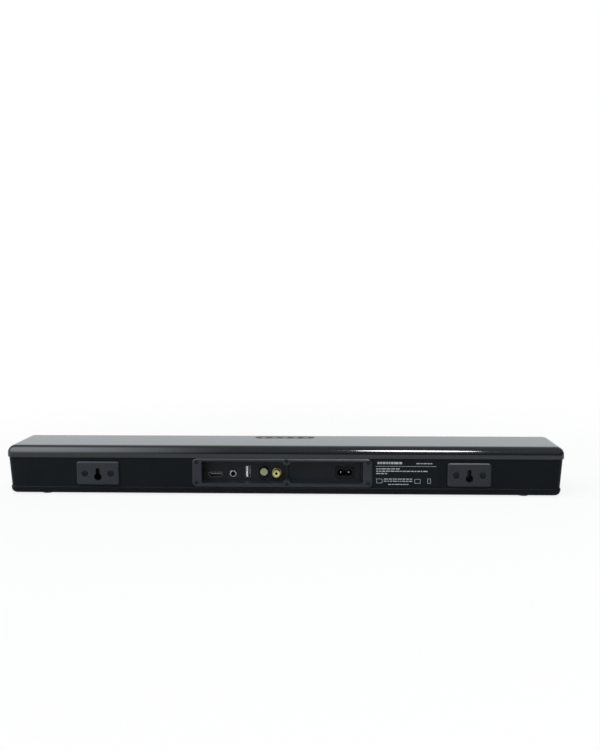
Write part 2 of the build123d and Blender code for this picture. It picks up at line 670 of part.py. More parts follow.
with BuildPart() as ac_inlet:
    with BuildSketch(facing_front(RECESS_FLOOR_Y + 0.8)):
        with Locations((INLET_X, INLET_Z)):
            RectangleRounded(20.0, 12.6, 2)
    extrude(amount=18)
    fillet(ac_inlet.faces().sort_by(Axis.Y)[-1].edges(), 0.5)
    # figure-of-eight socket
    with BuildSketch(facing_front(RECESS_FLOOR_Y + 0.8)):
        with Locations(*[(INLET_X + side * INLET_PIN_PITCH / 2, INLET_Z) for side in SIDES.values()]):
            Circle(3.75)
        with Locations((INLET_X, INLET_Z)):
            Rectangle(INLET_PIN_PITCH, 6.2)
    extrude(amount=12, mode=Mode.SUBTRACT)
    with BuildSketch(facing_front(RECESS_FLOOR_Y)):
        with Locations(*[(INLET_X + side * INLET_PIN_PITCH / 2, INLET_Z) for side in SIDES.values()]):
            Circle(1.2)
    extrude(amount=20, mode=Mode.SUBTRACT)
pieces["ac_inlet"] = ac_inlet

with BuildPart() as ac_inlet_pins:
    with BuildSketch(facing_front(RECESS_FLOOR_Y - 1.2)):
        with Locations(*[(INLET_X + side * INLET_PIN_PITCH / 2, INLET_Z) for side in SIDES.values()]):
            Circle(1.18)
    extrude(amount=20)
    fillet(ac_inlet_pins.faces().group_by(Axis.Y)[-1].edges(), 0.8)
pieces["ac_inlet_pins"] = ac_inlet_pins

# ---------------------------------------------------------------- wall brackets, screws, label, feet
for side_name, side in SIDES.items():
    with BuildPart() as wall_bracket:
        with BuildSketch(facing_front(BRACKET_FACE_Y - BEVEL_DEPTH)):
            with Locations((side * BRACKET_X, BRACKET_Z)):
                RectangleRounded(BRACKET_W, BRACKET_H, 2.5)
        extrude(amount=BRACKET_FACE_Y - BEVEL_DEPTH - REAR_WALL_Y)
        with BuildSketch(facing_rear(BRACKET_FACE_Y - BEVEL_DEPTH)):
            with Locations((-side * BRACKET_X, BRACKET_Z)):
                RectangleRounded(BRACKET_W, BRACKET_H, 2.5)
        extrude(amount=BEVEL_DEPTH, taper=BEVEL_SLOPE)
        # cup that takes the head of the wall screw
        with BuildSketch(facing_front(REAR_WALL_Y)):
            with Locations((side * BRACKET_X, BRACKET_Z)):
                Rectangle(CUP_W, CUP_H)
        extrude(amount=CUP_DEPTH)
        with BuildSketch(facing_front(REAR_WALL_Y)):
            with Locations((side * BRACKET_X, BRACKET_Z)):
                Rectangle(CUP_W - 2 * CUP_WALL, CUP_H - 2 * CUP_WALL)
        extrude(amount=CUP_DEPTH - CUP_WALL, mode=Mode.SUBTRACT)
        with BuildSketch(facing_front(BRACKET_FACE_Y)):
            with Locations((side * BRACKET_X, KEYHOLE_Z)):
                Circle(KEYHOLE_R)
            with Locations((side * BRACKET_X, SLOT_TOP_Z)):
                Circle(SLOT_R)
            with Locations((side * BRACKET_X, (KEYHOLE_Z + SLOT_TOP_Z) / 2)):
                Rectangle(2 * SLOT_R, SLOT_TOP_Z - KEYHOLE_Z)
        extrude(amount=BRACKET_FACE_Y - REAR_WALL_Y, mode=Mode.SUBTRACT)
        with BuildSketch(facing_front(BRACKET_FACE_Y)):
            with Locations(*BRACKET_SCREWS[side_name]):
                Circle(SCREW_R + 0.1)
        extrude(amount=BRACKET_FACE_Y - REAR_WALL_Y, mode=Mode.SUBTRACT)
        with BuildSketch(facing_front(BRACKET_FACE_Y)):
            with Locations(*BRACKET_SCREWS[side_name]):
                Circle(3.4)
        extrude(amount=2, mode=Mode.SUBTRACT)
    pieces[f"wall_bracket_{side_name}"] = wall_bracket

with BuildPart() as rear_screws:
    with BuildSketch(facing_front(BRACKET_FACE_Y - 0.5)):
        with Locations(*BRACKET_SCREWS["left"], *BRACKET_SCREWS["right"]):
            Circle(SCREW_HEAD_R)
    extrude(amount=1.5)
    fillet(rear_screws.faces().group_by(Axis.Y)[-1].edges(), 0.5)
    with BuildSketch(facing_front(BRACKET_FACE_Y - 2)):
        with Locations(*BRACKET_SCREWS["left"], *BRACKET_SCREWS["right"]):
            Circle(SCREW_R - FIT)
    extrude(amount=9)
    with BuildSketch(facing_front(BRACKET_FACE_Y - 0.5)):
        with Locations(*BRACKET_SCREWS["left"], *BRACKET_SCREWS["right"]):
            Rectangle(3.2, 0.7)
            Rectangle(0.7, 3.2)
    extrude(amount=0.9, mode=Mode.SUBTRACT)
    add(port_panel_screws.part)
pieces["rear_screws"] = rear_screws

with BuildPart() as base_screws:
    with BuildSketch(Plane.XY.offset(WELL_TOP_Z - 2)):
        with Locations(*PILLAR_PLACES):
            Circle(SCREW_HEAD_R)
    extrude(amount=2)
    with BuildSketch(Plane.XY.offset(WELL_TOP_Z)):
        with Locations(*PILLAR_PLACES):
            Circle(SCREW_R - FIT)
    extrude(amount=14)
    with BuildSketch(Plane.XY.offset(WELL_TOP_Z - 2)):
        with Locations(*PILLAR_PLACES):
            Rectangle(3.2, 0.7)
            Rectangle(0.7, 3.2)
    extrude(amount=0.9, mode=Mode.SUBTRACT)
pieces["base_screws"] = base_screws

with BuildPart() as rating_label:
    with BuildSketch(facing_front(REAR_WALL_Y + 0.2)):
        with Locations((-132.8, 25.6)):
            RectangleRounded(69, 30, 1)
    extrude(amount=0.2)
pieces["rating_label"] = rating_label

with BuildPart() as feet:
    with BuildSketch():
        with GridLocations(520, 46, 2, 2):
            Circle(6.4)
    extrude(amount=FOOT_H + 0.5)
    fillet(feet.faces().group_by(Axis.Z)[0].edges(), 0.5)
pieces["feet"] = feet

# ---------------------------------------------------------------- buttons
button_xs = [(i - 2) * BUTTON_PITCH for i in range(len(BUTTON_NAMES))]
with BuildPart() as button_trim:
    with BuildSketch(Plane.XY.offset(COVER_CEILING_Z)):
        with Locations((0, BUTTON_Y)):
            SlotOverall(*TRIM_SIZE)
    extrude(amount=HEIGHT - COVER_CEILING_Z)
    with BuildSketch(Plane.XY.offset(TRIM_FLANGE_Z)):
        with Locations((0, BUTTON_Y)):
            SlotOverall(*TRIM_FLANGE)
    extrude(amount=COVER_CEILING_Z - TRIM_FLANGE_Z)
    with BuildSketch(Plane.XY.offset(HEIGHT)):
        with Locations(*[(x, BUTTON_Y) for x in button_xs]):
            Circle(BUTTON_HOLE_R)
    extrude(amount=-5, mode=Mode.SUBTRACT)
    with BuildSketch(Plane.XY.offset(TRIM_FLANGE_Z)):
        with Locations(*[(x, BUTTON_Y) for x in button_xs]):
            Circle(BUTTON_FLANGE_R + 0.3)
    extrude(amount=1.7, mode=Mode.SUBTRACT)
pieces["button_trim"] = button_trim

for button_name, x in zip(BUTTON_NAMES, button_xs):
    with BuildPart() as button:
        with BuildSketch(Plane.XY.offset(TRIM_FLANGE_Z)):
            with Locations((x, BUTTON_Y)):
                Circle(BUTTON_R)
        extrude(amount=HEIGHT - 0.1 - TRIM_FLANGE_Z)
        fillet(button.faces().sort_by(Axis.Z)[-1].edges(), 0.5)
        with BuildSketch(Plane.XY.offset(TRIM_FLANGE_Z)):
            with Locations((x, BUTTON_Y)):
                Circle(BUTTON_FLANGE_R)
        extrude(amount=1.4)
        # stem that works the switch
        with BuildSketch(Plane.XY.offset(TRIM_FLANGE_Z)):
            with Locations((x, BUTTON_Y)):
                Circle(1.5)
        extrude(amount=-2.2)
    pieces[f"button_{button_name}"] = button

with BuildPart() as button_board:
    with BuildSketch(Plane.XY.offset(BUTTON_BOARD_TOP_Z - BOARD_T)):
        with Locations((0, BUTTON_Y)):
            RectangleRounded(96, 13, 1)
        with Locations(*BUTTON_POSTS):
            Circle(1.1, mode=Mode.SUBTRACT)
    extrude(amount=BOARD_T)
pieces["button_board"] = button_board

with BuildPart() as button_switches:
    with BuildSketch(Plane.XY.offset(BUTTON_BOARD_TOP_Z)):
        with Locations(*[(x, BUTTON_Y) for x in button_xs]):
            Rectangle(6.2, 6.2)
    extrude(amount=SWITCH_H)
    with BuildSketch(Plane.XY.offset(BUTTON_BOARD_TOP_Z + SWITCH_H)):
        with Locations(*[(x, BUTTON_Y) for x in button_xs]):
            Circle(1.8)
    extrude(amount=-2, mode=Mode.SUBTRACT)
pieces["button_switches"] = button_switches

# ---------------------------------------------------------------- drive units
for side_name, side in SIDES.items():
    x = side * DRIVER_X
    driver_axis = Axis((x, 0, DRIVER_Z), (0, 1, 0))

    with BuildPart() as driver_frame:
        # flange on the baffle
        with BuildSketch(facing_front(BAFFLE_Y)):
            with Locations((x, DRIVER_Z)):
                RectangleRounded(FLANGE_W, FLANGE_H, 8)
                SlotOverall(*ROLL_OUT, mode=Mode.SUBTRACT)
                with GridLocations(2 * DRIVER_SCREWS[0], 2 * DRIVER_SCREWS[1], 2, 2):
                    Circle(SCREW_R + 0.1, mode=Mode.SUBTRACT)
        extrude(amount=FLANGE_T)
        # tapering basket
        with BuildSketch(facing_front(BAFFLE_Y)):
            with Locations((x, DRIVER_Z)):
                SlotOverall(ROLL_OUT[0] + 2, ROLL_OUT[1] + 2)
        with BuildSketch(facing_front(-14)):
            with Locations((x, DRIVER_Z)):
                SlotOverall(50, 34)
        loft()
        with BuildSketch(facing_front(BAFFLE_Y)):
            with Locations((x, DRIVER_Z)):
                SlotOverall(*ROLL_OUT)
        with BuildSketch(facing_front(-15.2)):
            with Locations((x, DRIVER_Z)):
                SlotOverall(48, 32)
        loft(mode=Mode.SUBTRACT)
        # shelf that the spider is glued to
        with BuildSketch(facing_front(-14)):
            with Locations((x, DRIVER_Z)):
                Circle(16)
                Circle(14.4, mode=Mode.SUBTRACT)
        extrude(amount=4)
        # way through for the coil, and windows in the sides
        with BuildSketch(facing_front(-14)):
            with Locations((x, DRIVER_Z)):
                Circle(11)
        extrude(amount=2, mode=Mode.SUBTRACT)
        for window in (-1, 1):
            with BuildSketch(Plane.YZ.offset(x + window * 22)):
                with Locations((-23, DRIVER_Z)):
                    RectangleRounded(8, 18, 2)
            extrude(amount=window * 24, mode=Mode.SUBTRACT)
    pieces[f"driver_frame_{side_name}"] = driver_frame

    with BuildPart() as driver_magnet:
        # front plate, magnet ring, back plate and pole in one, round the coil's gap
        with BuildSketch(Plane.XY.offset(DRIVER_Z)):
            with BuildLine():
                Polyline(
                    (x, -14),
                    (x + 8, -14),
                    (x + 8, -1),
                    (x + 12, -1),
                    (x + 12, -11),
                    (x + 10.2, -11),
                    (x + 10.2, -14),
                    (x + 18, -14),
                    (x + 18, -11),
                    (x + 20, -11),
                    (x + 20, -2),
                    (x + 18, -2),
                    (x + 18, 1),
                    (x, 1),
                    close=True,
                )
            make_face()
        revolve(axis=driver_axis)
    pieces[f"driver_magnet_{side_name}"] = driver_magnet

    with BuildPart() as driver_cone:
        # upright rim, then the cone down to its throat; the inside is the same shape, smaller
        for inset, throat_y, mode in ((CONE_GAP, -22, Mode.ADD), (CONE_GAP + 0.7, -23.2, Mode.SUBTRACT)):
            mouth = (ROLL_IN[0] - 2 * inset, ROLL_IN[1] - 2 * inset)
            throat = (21 - 2 * (inset - CONE_GAP), 18.4 - 2 * (inset - CONE_GAP))
            with BuildSketch(facing_front(-30)):
                with Locations((x, DRIVER_Z)):
                    SlotOverall(*mouth)
            extrude(amount=4, mode=mode)
            with BuildSketch(facing_front(-30)):
                with Locations((x, DRIVER_Z)):
                    SlotOverall(*mouth)
            with BuildSketch(facing_front(throat_y)):
                with Locations((x, DRIVER_Z)):
                    SlotOverall(*throat)
            loft(mode=mode)
        # coil former
        with BuildSketch(facing_front(-7)):
            with Locations((x, DRIVER_Z)):
                Circle(COIL_R)
                Circle(COIL_R - 0.5, mode=Mode.SUBTRACT)
        extrude(amount=15.5)
        # dust cap
        with BuildSketch(Plane.XY.offset(DRIVER_Z)):
            with BuildLine():
                dome = ThreePointArc((x - 8.4, -23), (x, -27), (x + 8.4, -23))
                Line(dome @ 1, (x + 8.4, -22.5))
                inner = ThreePointArc((x + 8.4, -22.5), (x, -26.4), (x - 8.4, -22.5))
                Line(inner @ 1, dome @ 0)
            make_face()
            with Locations((x - 10, -24)):
                Rectangle(20, 20, mode=Mode.SUBTRACT)
        revolve(axis=driver_axis)
    pieces[f"driver_cone_{side_name}"] = driver_cone

    with BuildPart() as driver_surround:
        with BuildSketch(facing_front(FLANGE_Y)):
            with Locations((x, DRIVER_Z)):
                SlotOverall(ROLL_OUT[0] + 4, ROLL_OUT[1] + 4)
                SlotOverall(ROLL_OUT[0] - 1, ROLL_OUT[1] - 1, mode=Mode.SUBTRACT)
        extrude(amount=0.6)
        # half roll, swept round between the flange and the cone
        with BuildSketch(facing_front(FLANGE_Y), mode=Mode.PRIVATE) as roll_middle:
            with Locations((x, DRIVER_Z)):
                SlotOverall((ROLL_OUT[0] + ROLL_IN[0]) / 2, (ROLL_OUT[1] + ROLL_IN[1]) / 2)
        roll_route = roll_middle.sketch.faces()[0].outer_wire()
        with BuildSketch(Plane(origin=roll_route @ 0, x_dir=(0, -1, 0), z_dir=roll_route % 0)):
            with BuildLine():
                outside = CenterArc((0, 0), ROLL_R, -90, 180)
                inside = CenterArc((0, 0), ROLL_R - ROLL_T, -90, 180)
                Line(outside @ 0, inside @ 0)
                Line(outside @ 1, inside @ 1)
            make_face()
        sweep(path=roll_route)
    pieces[f"driver_surround_{side_name}"] = driver_surround

    with BuildPart() as driver_spider:
        # pleated disc round the coil former
        with BuildSketch(facing_front(-18)):
            with Locations((x, DRIVER_Z)):
                Circle(15.6)
                Circle(COIL_R + 0.3, mode=Mode.SUBTRACT)
        extrude(amount=0.6)
        for pleat_r in (10.6, 12.4):
            with BuildSketch(facing_front(-18.6)):
                with Locations((x, DRIVER_Z)):
                    Circle(pleat_r + 0.5)
                    Circle(pleat_r - 0.4, mode=Mode.SUBTRACT)
            extrude(amount=0.6)
    pieces[f"driver_spider_{side_name}"] = driver_spider

driver_screw_places = [
    (side * DRIVER_X + dx * DRIVER_SCREWS[0], DRIVER_Z + dz * DRIVER_SCREWS[1])
    for side in SIDES.values()
    for dx in (-1, 1)
    for dz in (-1, 1)
]
with BuildPart() as driver_screws:
    with BuildSketch(facing_front(FLANGE_Y)):
        with Locations(*driver_screw_places):
            Circle(SCREW_HEAD_R)
    extrude(amount=1.6)
    with BuildSketch(facing_front(FLANGE_Y)):
        with Locations(*driver_screw_places):
            Circle(SCREW_R - FIT)
    extrude(amount=-7)

with BuildPart() as driver_gaskets:
    with BuildSketch(facing_front(BAFFLE_REAR_Y)):
        with Locations(*[(side * DRIVER_X, DRIVER_Z) for side in SIDES.values()]):
            SlotOverall(97.4, 35.4)
            SlotOverall(96.2, 34.2, mode=Mode.SUBTRACT)
    extrude(amount=BAFFLE_T)
pieces["driver_gaskets"] = driver_gaskets

# ---------------------------------------------------------------- boards
with BuildPart() as main_board:
    with BuildSketch(Plane.XY.offset(BOARD_TOP_Z - BOARD_T)):
        with Locations((50.5, -1.2)):
            RectangleRounded(107, 42, 1)
        with Locations(*MAIN_POSTS):
            Circle(1.1, mode=Mode.SUBTRACT)
    extrude(amount=BOARD_T)
pieces["main_board"] = main_board

with BuildPart() as main_board_parts:
    with BuildSketch(Plane.XY.offset(BOARD_TOP_Z)):
        with Locations((24, -6)):
            Rectangle(12, 12)
        with Locations((40, -8)):
            Rectangle(8, 8)
    extrude(amount=1.4)
    with BuildSketch(Plane.XY.offset(BOARD_TOP_Z)):
        with Locations((86, -14), (86, -4), (94, -9)):
            Circle(4)
    extrude(amount=12)
    with BuildSketch(Plane.XY.offset(BOARD_TOP_Z)):
        with Locations((24, -17.5), (92, 9)):
            Rectangle(10, 5)
    extrude(amount=6)
pieces["main_board_parts"] = main_board_parts

with BuildPart() as heat_sink:
    with BuildSketch(Plane.XY.offset(BOARD_TOP_Z)):
        with Locations((64, -8)):
            Rectangle(30, 18)
    extrude(amount=3)
    with BuildSketch(Plane.XY.offset(BOARD_TOP_Z + 3)):
        with Locations((64, -8)):
            with GridLocations(4, 1, 8, 1):
                Rectangle(1.4, 18)
    extrude(amount=13)
pieces["heat_sink"] = heat_sink

with BuildPart() as power_board:
    with BuildSketch(Plane.XY.offset(POWER_TOP_Z - BOARD_T)):
        with Locations((-57.5, -1.5)):
            RectangleRounded(92, 40, 1)
        with Locations(*POWER_POSTS):
            Circle(1.1, mode=Mode.SUBTRACT)
    extrude(amount=BOARD_T)
pieces["power_board"] = power_board

with BuildPart() as power_board_parts:
    with BuildSketch(Plane.XY.offset(POWER_TOP_Z)):
        with Locations((-84, -5)):
            Circle(7.5)
        with Locations((-24, -4), (-24, 6)):
            Circle(4.5)
    extrude(amount=20)
    with BuildSketch(Plane.XY.offset(POWER_TOP_Z)):
        with Locations((-96, 4)):
            Rectangle(6, 14)
    extrude(amount=11)
pieces["power_board_parts"] = power_board_parts

with BuildPart() as transformer:
    # ferrite core round a winding
    with BuildSketch(Plane.XY.offset(POWER_TOP_Z)):
        with Locations((-53, -6)):
            Rectangle(24, 10)
    extrude(amount=20)
    with BuildSketch(Plane.XY.offset(POWER_TOP_Z + 3)):
        with Locations((-53, -6)):
            RectangleRounded(17, 19, 4)
    extrude(amount=14)
pieces["transformer"] = transformer

with BuildPart() as inner_screws:
    for places, top_z in ((MAIN_POSTS, BOARD_TOP_Z), (POWER_POSTS, POWER_TOP_Z)):
        with BuildSketch(Plane.XY.offset(top_z)):
            with Locations(*places):
                Circle(2)
        extrude(amount=1.2)
        with BuildSketch(Plane.XY.offset(top_z)):
            with Locations(*places):
                Circle(1 - FIT)
        extrude(amount=-6)
    with BuildSketch(Plane.XY.offset(BUTTON_BOARD_TOP_Z - BOARD_T)):
        with Locations(*BUTTON_POSTS):
            Circle(2)
    extrude(amount=-1.2)
    with BuildSketch(Plane.XY.offset(BUTTON_BOARD_TOP_Z - BOARD_T)):
        with Locations(*BUTTON_POSTS):
            Circle(1 - FIT)
    extrude(amount=6)
    add(driver_screws.part)
pieces["inner_screws"] = inner_screws

with BuildPart() as display_board:
    with BuildSketch(facing_front(-24.5)):
        with Locations((0, WINDOW_Z)):
            RectangleRounded(78, 24, 1)
    extrude(amount=BOARD_T)
    with BuildSketch(facing_front(-26.1)):
        with Locations((-4, WINDOW_Z)):
            Rectangle(46, 11)
    extrude(amount=9)
    # infrared receiver
    with BuildSketch(facing_front(-26.1)):
        with Locations((25, WINDOW_Z)):
            Rectangle(5, 6)
    extrude(amount=7)
    with BuildSketch(facing_front(-33.1)):
        with Locations((25, WINDOW_Z)):
            Circle(2.3)
    extrude(amount=1.6)
pieces["display_board"] = display_board


# ---------------------------------------------------------------- leads
LEAD_R = 1.2
LEAD_ROUTES = {
    "speaker_lead_left": [
        (-166, -12.4, 15),
        (-148, -7, 11.5),
        (-130, -2, 8),
        (-106, 0.6, 7.4),
        (-62, -2, 6.8),
        (-30, -5, 7.4),
        (-9, -8, 7.4),
        (-7.2, -11, 14),
    ],
    "speaker_lead_right": [
        (166, -12.4, 15),
        (148, -7, 11.5),
        (130, -2, 8),
        (106, 0.6, 7.4),
        (78, -5, 8),
        (52, -18, 11),
    ],
    "mains_lead": [
        (INLET_X - INLET_PIN_PITCH / 2, 0.6, INLET_Z),
        (INLET_X - INLET_PIN_PITCH / 2, -8, INLET_Z - 0.6),
        (-75, -14, 19.5),
        (-86, -17, 15),
    ],
}


def bend_radii(points):
    """For each inner point, the largest arc that its two runs leave room for."""
    radii = []
    for before, here, after in zip(points, points[1:], points[2:]):
        run_in = Vector(*here) - Vector(*before)
        run_out = Vector(*after) - Vector(*here)
        half_turn = radians(run_in.get_angle(run_out) / 2)
        radii.append(0.45 * min(run_in.length, run_out.length) / tan(half_turn))
    return radii


for name, points in LEAD_ROUTES.items():
    radii = bend_radii(points)
    with BuildPart() as lead:
        with BuildLine() as route:
            FilletPolyline(*points, radius=radii)
        with BuildSketch(Plane(origin=route.line @ 0, z_dir=route.line % 0)):
            Circle(LEAD_R)
        sweep(path=route.line)
    pieces[name] = lead

with BuildPart() as display_ribbon:
    with BuildSketch(Plane.YZ.offset(10)):
        with BuildLine() as ribbon_route:
            FilletPolyline((-24.1, 16.5), (-23.6, 11), (-19, 9.5), (-12, 11), (-8, 15.1), radius=1.6)
        trace(ribbon_route.line, line_width=0.5)
    extrude(amount=14)
pieces["display_ribbon"] = display_ribbon

# ---------------------------------------------------------------- write one file per piece
for name, piece in pieces.items():
    piece.part.label = name
    export_step(piece.part, f"parts/{name}.step")
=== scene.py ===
"""Finishes, fine details, light and camera for the soundbar.

Frame, in metres: X runs along the bar, the grille faces -Y, the sockets face +Y, Z is up.
"""

import json
import random
from math import cos, radians, sin, sqrt

import bmesh
import bpy
from mathutils import Matrix, Vector


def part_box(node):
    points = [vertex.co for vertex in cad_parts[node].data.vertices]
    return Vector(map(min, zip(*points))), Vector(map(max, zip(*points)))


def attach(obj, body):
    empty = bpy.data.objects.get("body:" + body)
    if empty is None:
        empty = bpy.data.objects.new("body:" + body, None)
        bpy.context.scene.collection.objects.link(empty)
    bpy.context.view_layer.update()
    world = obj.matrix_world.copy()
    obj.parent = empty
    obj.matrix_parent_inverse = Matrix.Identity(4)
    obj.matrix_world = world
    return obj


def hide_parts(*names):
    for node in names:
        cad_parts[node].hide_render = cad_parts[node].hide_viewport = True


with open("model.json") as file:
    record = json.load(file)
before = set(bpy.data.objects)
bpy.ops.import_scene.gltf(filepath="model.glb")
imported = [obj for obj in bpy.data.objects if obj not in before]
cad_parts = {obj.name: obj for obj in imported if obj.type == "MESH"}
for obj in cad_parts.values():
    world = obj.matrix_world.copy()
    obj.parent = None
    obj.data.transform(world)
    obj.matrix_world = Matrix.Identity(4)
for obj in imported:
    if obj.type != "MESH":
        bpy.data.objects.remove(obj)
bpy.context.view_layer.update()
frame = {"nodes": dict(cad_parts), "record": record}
MM = 0.001
BODY = "soundbar"

# ---------------------------------------------------------------- camera
CAMERA_PLACE = Vector((-0.0574, 0.9349, 0.2224))
CAMERA_YAW = radians(2.4)
CAMERA_PITCH = radians(5.78)
CAMERA_ROLL = radians(-0.21)
FOCAL_IN_FRAMES = 17 / 15  # focal length over the height of the frame


def make_camera():
    """The camera behind the bar, looking along -Y and a little down."""
    camera = bpy.data.objects.new("camera", bpy.data.cameras.new("camera"))
    bpy.context.scene.collection.objects.link(camera)
    camera.data.sensor_fit = "VERTICAL"
    camera.data.lens = FOCAL_IN_FRAMES * camera.data.sensor_height
    camera.data.clip_start = 0.02
    across, along = sin(CAMERA_YAW) * cos(CAMERA_PITCH), cos(CAMERA_YAW) * cos(CAMERA_PITCH)
    forward = Vector((across, -along, -sin(CAMERA_PITCH)))
    level = forward.cross(Vector((0, 0, 1))).normalized()
    upright = level.cross(forward)
    right = level * cos(CAMERA_ROLL) + upright * sin(CAMERA_ROLL)
    up = upright * cos(CAMERA_ROLL) - level * sin(CAMERA_ROLL)
    turned = Matrix((right, up, -forward)).transposed().to_4x4()
    camera.matrix_world = Matrix.Translation(CAMERA_PLACE) @ turned
    bpy.context.scene.camera = camera


# ---------------------------------------------------------------- shader helpers
def add_ramp(tree, value, start, stop, at_start, at_stop, smooth=True):
    """Carries value from the range start..stop to the range at_start..at_stop."""
    ramp = tree.nodes.new("ShaderNodeMapRange")
    if smooth:
        ramp.interpolation_type = "SMOOTHSTEP"
    ramp.inputs["From Min"].default_value = start
    ramp.inputs["From Max"].default_value = stop
    ramp.inputs["To Min"].default_value = at_start
    ramp.inputs["To Max"].default_value = at_stop
    tree.links.new(value, ramp.inputs["Value"])
    return ramp.outputs["Result"]


def add_math(tree, operation, a, b):
    node = tree.nodes.new("ShaderNodeMath")
    node.operation = operation
    tree.links.new(a, node.inputs[0])
    tree.links.new(b, node.inputs[1])
    return node.outputs[0]


def add_mix(tree, share, at_none, at_full, output):
    """Mixes two shaders into the output, by share."""
    mix = tree.nodes.new("ShaderNodeMixShader")
    tree.links.new(share, mix.inputs["Fac"])
    tree.links.new(at_none, mix.inputs[1])
    tree.links.new(at_full, mix.inputs[2])
    tree.links.new(mix.outputs[0], output.inputs["Surface"])


# ---------------------------------------------------------------- light and floor
# Ramps over the direction of the sky: axis, where it starts and stops, strength at each.
BACKDROP = ("Y", -0.85, -0.2, 1.0, 0.0)  # bright beyond the grille side
CEILING = ("Z", 0.1, 0.7, 0.12, 0.5)
# The glow towards +X on the socket side is the product of these.
SIDE_TOWARDS_X = ("X", 0.1, 0.36, 0.0, 1.0)
SIDE_RISE = ("Z", 0.0, 0.5, 1.2, 4.2)
SIDE_ONLY_REAR = ("Y", -0.3, 0.3, 0.0, 1.0)
SKY_COLOR = (0.93, 0.98, 1.0, 1)
WHITE = (1, 1, 1, 1)

KEY_PLACE = (-0.33, 1.34, 1.56)
KEY_TARGET = (-0.1, 0.0, 0.04)
KEY_SIZE = (0.40, 0.70)
KEY_POWER = 27

FLOOR_HALF = 4.0
FLOOR_COLOR = (0.5, 0.5, 0.5, 1)
# The camera sees the floor fade into the white backdrop: distance from the middle, share of white.
FLOOR_FADE = (0.2, 0.9, 0.85, 1.0)


def make_world():
    """A pale studio that the camera sees as plain white."""
    world = bpy.data.worlds.new("studio")
    bpy.context.scene.world = world
    world.use_nodes = True
    tree = world.node_tree
    place = tree.nodes.new("ShaderNodeTexCoord")
    split = tree.nodes.new("ShaderNodeSeparateXYZ")
    tree.links.new(place.outputs["Generated"], split.inputs[0])

    def sky_ramp(axis, *ranges):
        return add_ramp(tree, split.outputs[axis], *ranges)

    side = add_math(tree, "MULTIPLY", sky_ramp(*SIDE_TOWARDS_X), sky_ramp(*SIDE_RISE))
    side = add_math(tree, "MULTIPLY", side, sky_ramp(*SIDE_ONLY_REAR))
    sky = add_math(tree, "MAXIMUM", sky_ramp(*BACKDROP), sky_ramp(*CEILING))
    glow = tree.nodes["Background"]
    glow.inputs["Color"].default_value = SKY_COLOR
    tree.links.new(add_math(tree, "ADD", sky, side), glow.inputs["Strength"])
    seen = tree.nodes.new("ShaderNodeBackground")
    seen.inputs["Color"].default_value = WHITE
    path = tree.nodes.new("ShaderNodeLightPath")
    output = tree.nodes["World Output"]
    add_mix(tree, path.outputs["Is Camera Ray"], glow.outputs[0], seen.outputs[0], output)


def make_key_light():
    """A tall softbox above and behind the camera. It makes the streak on the cover's rear edge."""
    lamp = bpy.data.lights.new("key", "AREA")
    lamp.shape = "ELLIPSE"
    lamp.size, lamp.size_y = KEY_SIZE
    lamp.energy = KEY_POWER
    softbox = bpy.data.objects.new("key", lamp)
    bpy.context.scene.collection.objects.link(softbox)
    softbox.location = KEY_PLACE
    facing = Vector(KEY_TARGET) - Vector(KEY_PLACE)
    softbox.rotation_euler = facing.to_track_quat("-Z", "Y").to_euler()


def make_floor():
    """A plain pale floor, which isn't part of the object."""
    mesh = bpy.data.meshes.new("floor")
    corners = [(x, y, 0) for x, y in rectangle(-FLOOR_HALF, -FLOOR_HALF, FLOOR_HALF, FLOOR_HALF)]
    mesh.from_pydata(corners, [], [(0, 1, 2, 3)])
    floor = bpy.data.objects.new("floor", mesh)
    bpy.context.scene.collection.objects.link(floor)
    material = bpy.data.materials.new("floor")
    material.use_nodes = True
    tree = material.node_tree
    shader = tree.nodes["Principled BSDF"]
    shader.inputs["Base Color"].default_value = FLOOR_COLOR
    shader.inputs["Roughness"].default_value = 0.8
    shader.inputs["Specular IOR Level"].default_value = 0.2
    place = tree.nodes.new("ShaderNodeTexCoord")
    reach = tree.nodes.new("ShaderNodeVectorMath")
    reach.operation = "LENGTH"
    tree.links.new(place.outputs["Object"], reach.inputs[0])
    fade = add_ramp(tree, reach.outputs["Value"], *FLOOR_FADE)
    path = tree.nodes.new("ShaderNodeLightPath")
    share = add_math(tree, "MULTIPLY", fade, path.outputs["Is Camera Ray"])
    white = tree.nodes.new("ShaderNodeEmission")
    white.inputs["Color"].default_value = WHITE
    add_mix(tree, share, shader.outputs[0], white.outputs[0], tree.nodes["Material Output"])
    mesh.materials.append(material)


# ---------------------------------------------------------------- materials
PATCH_LOW, PATCH_HIGH = 0.3, 0.7  # the part of the noise that a finish uses


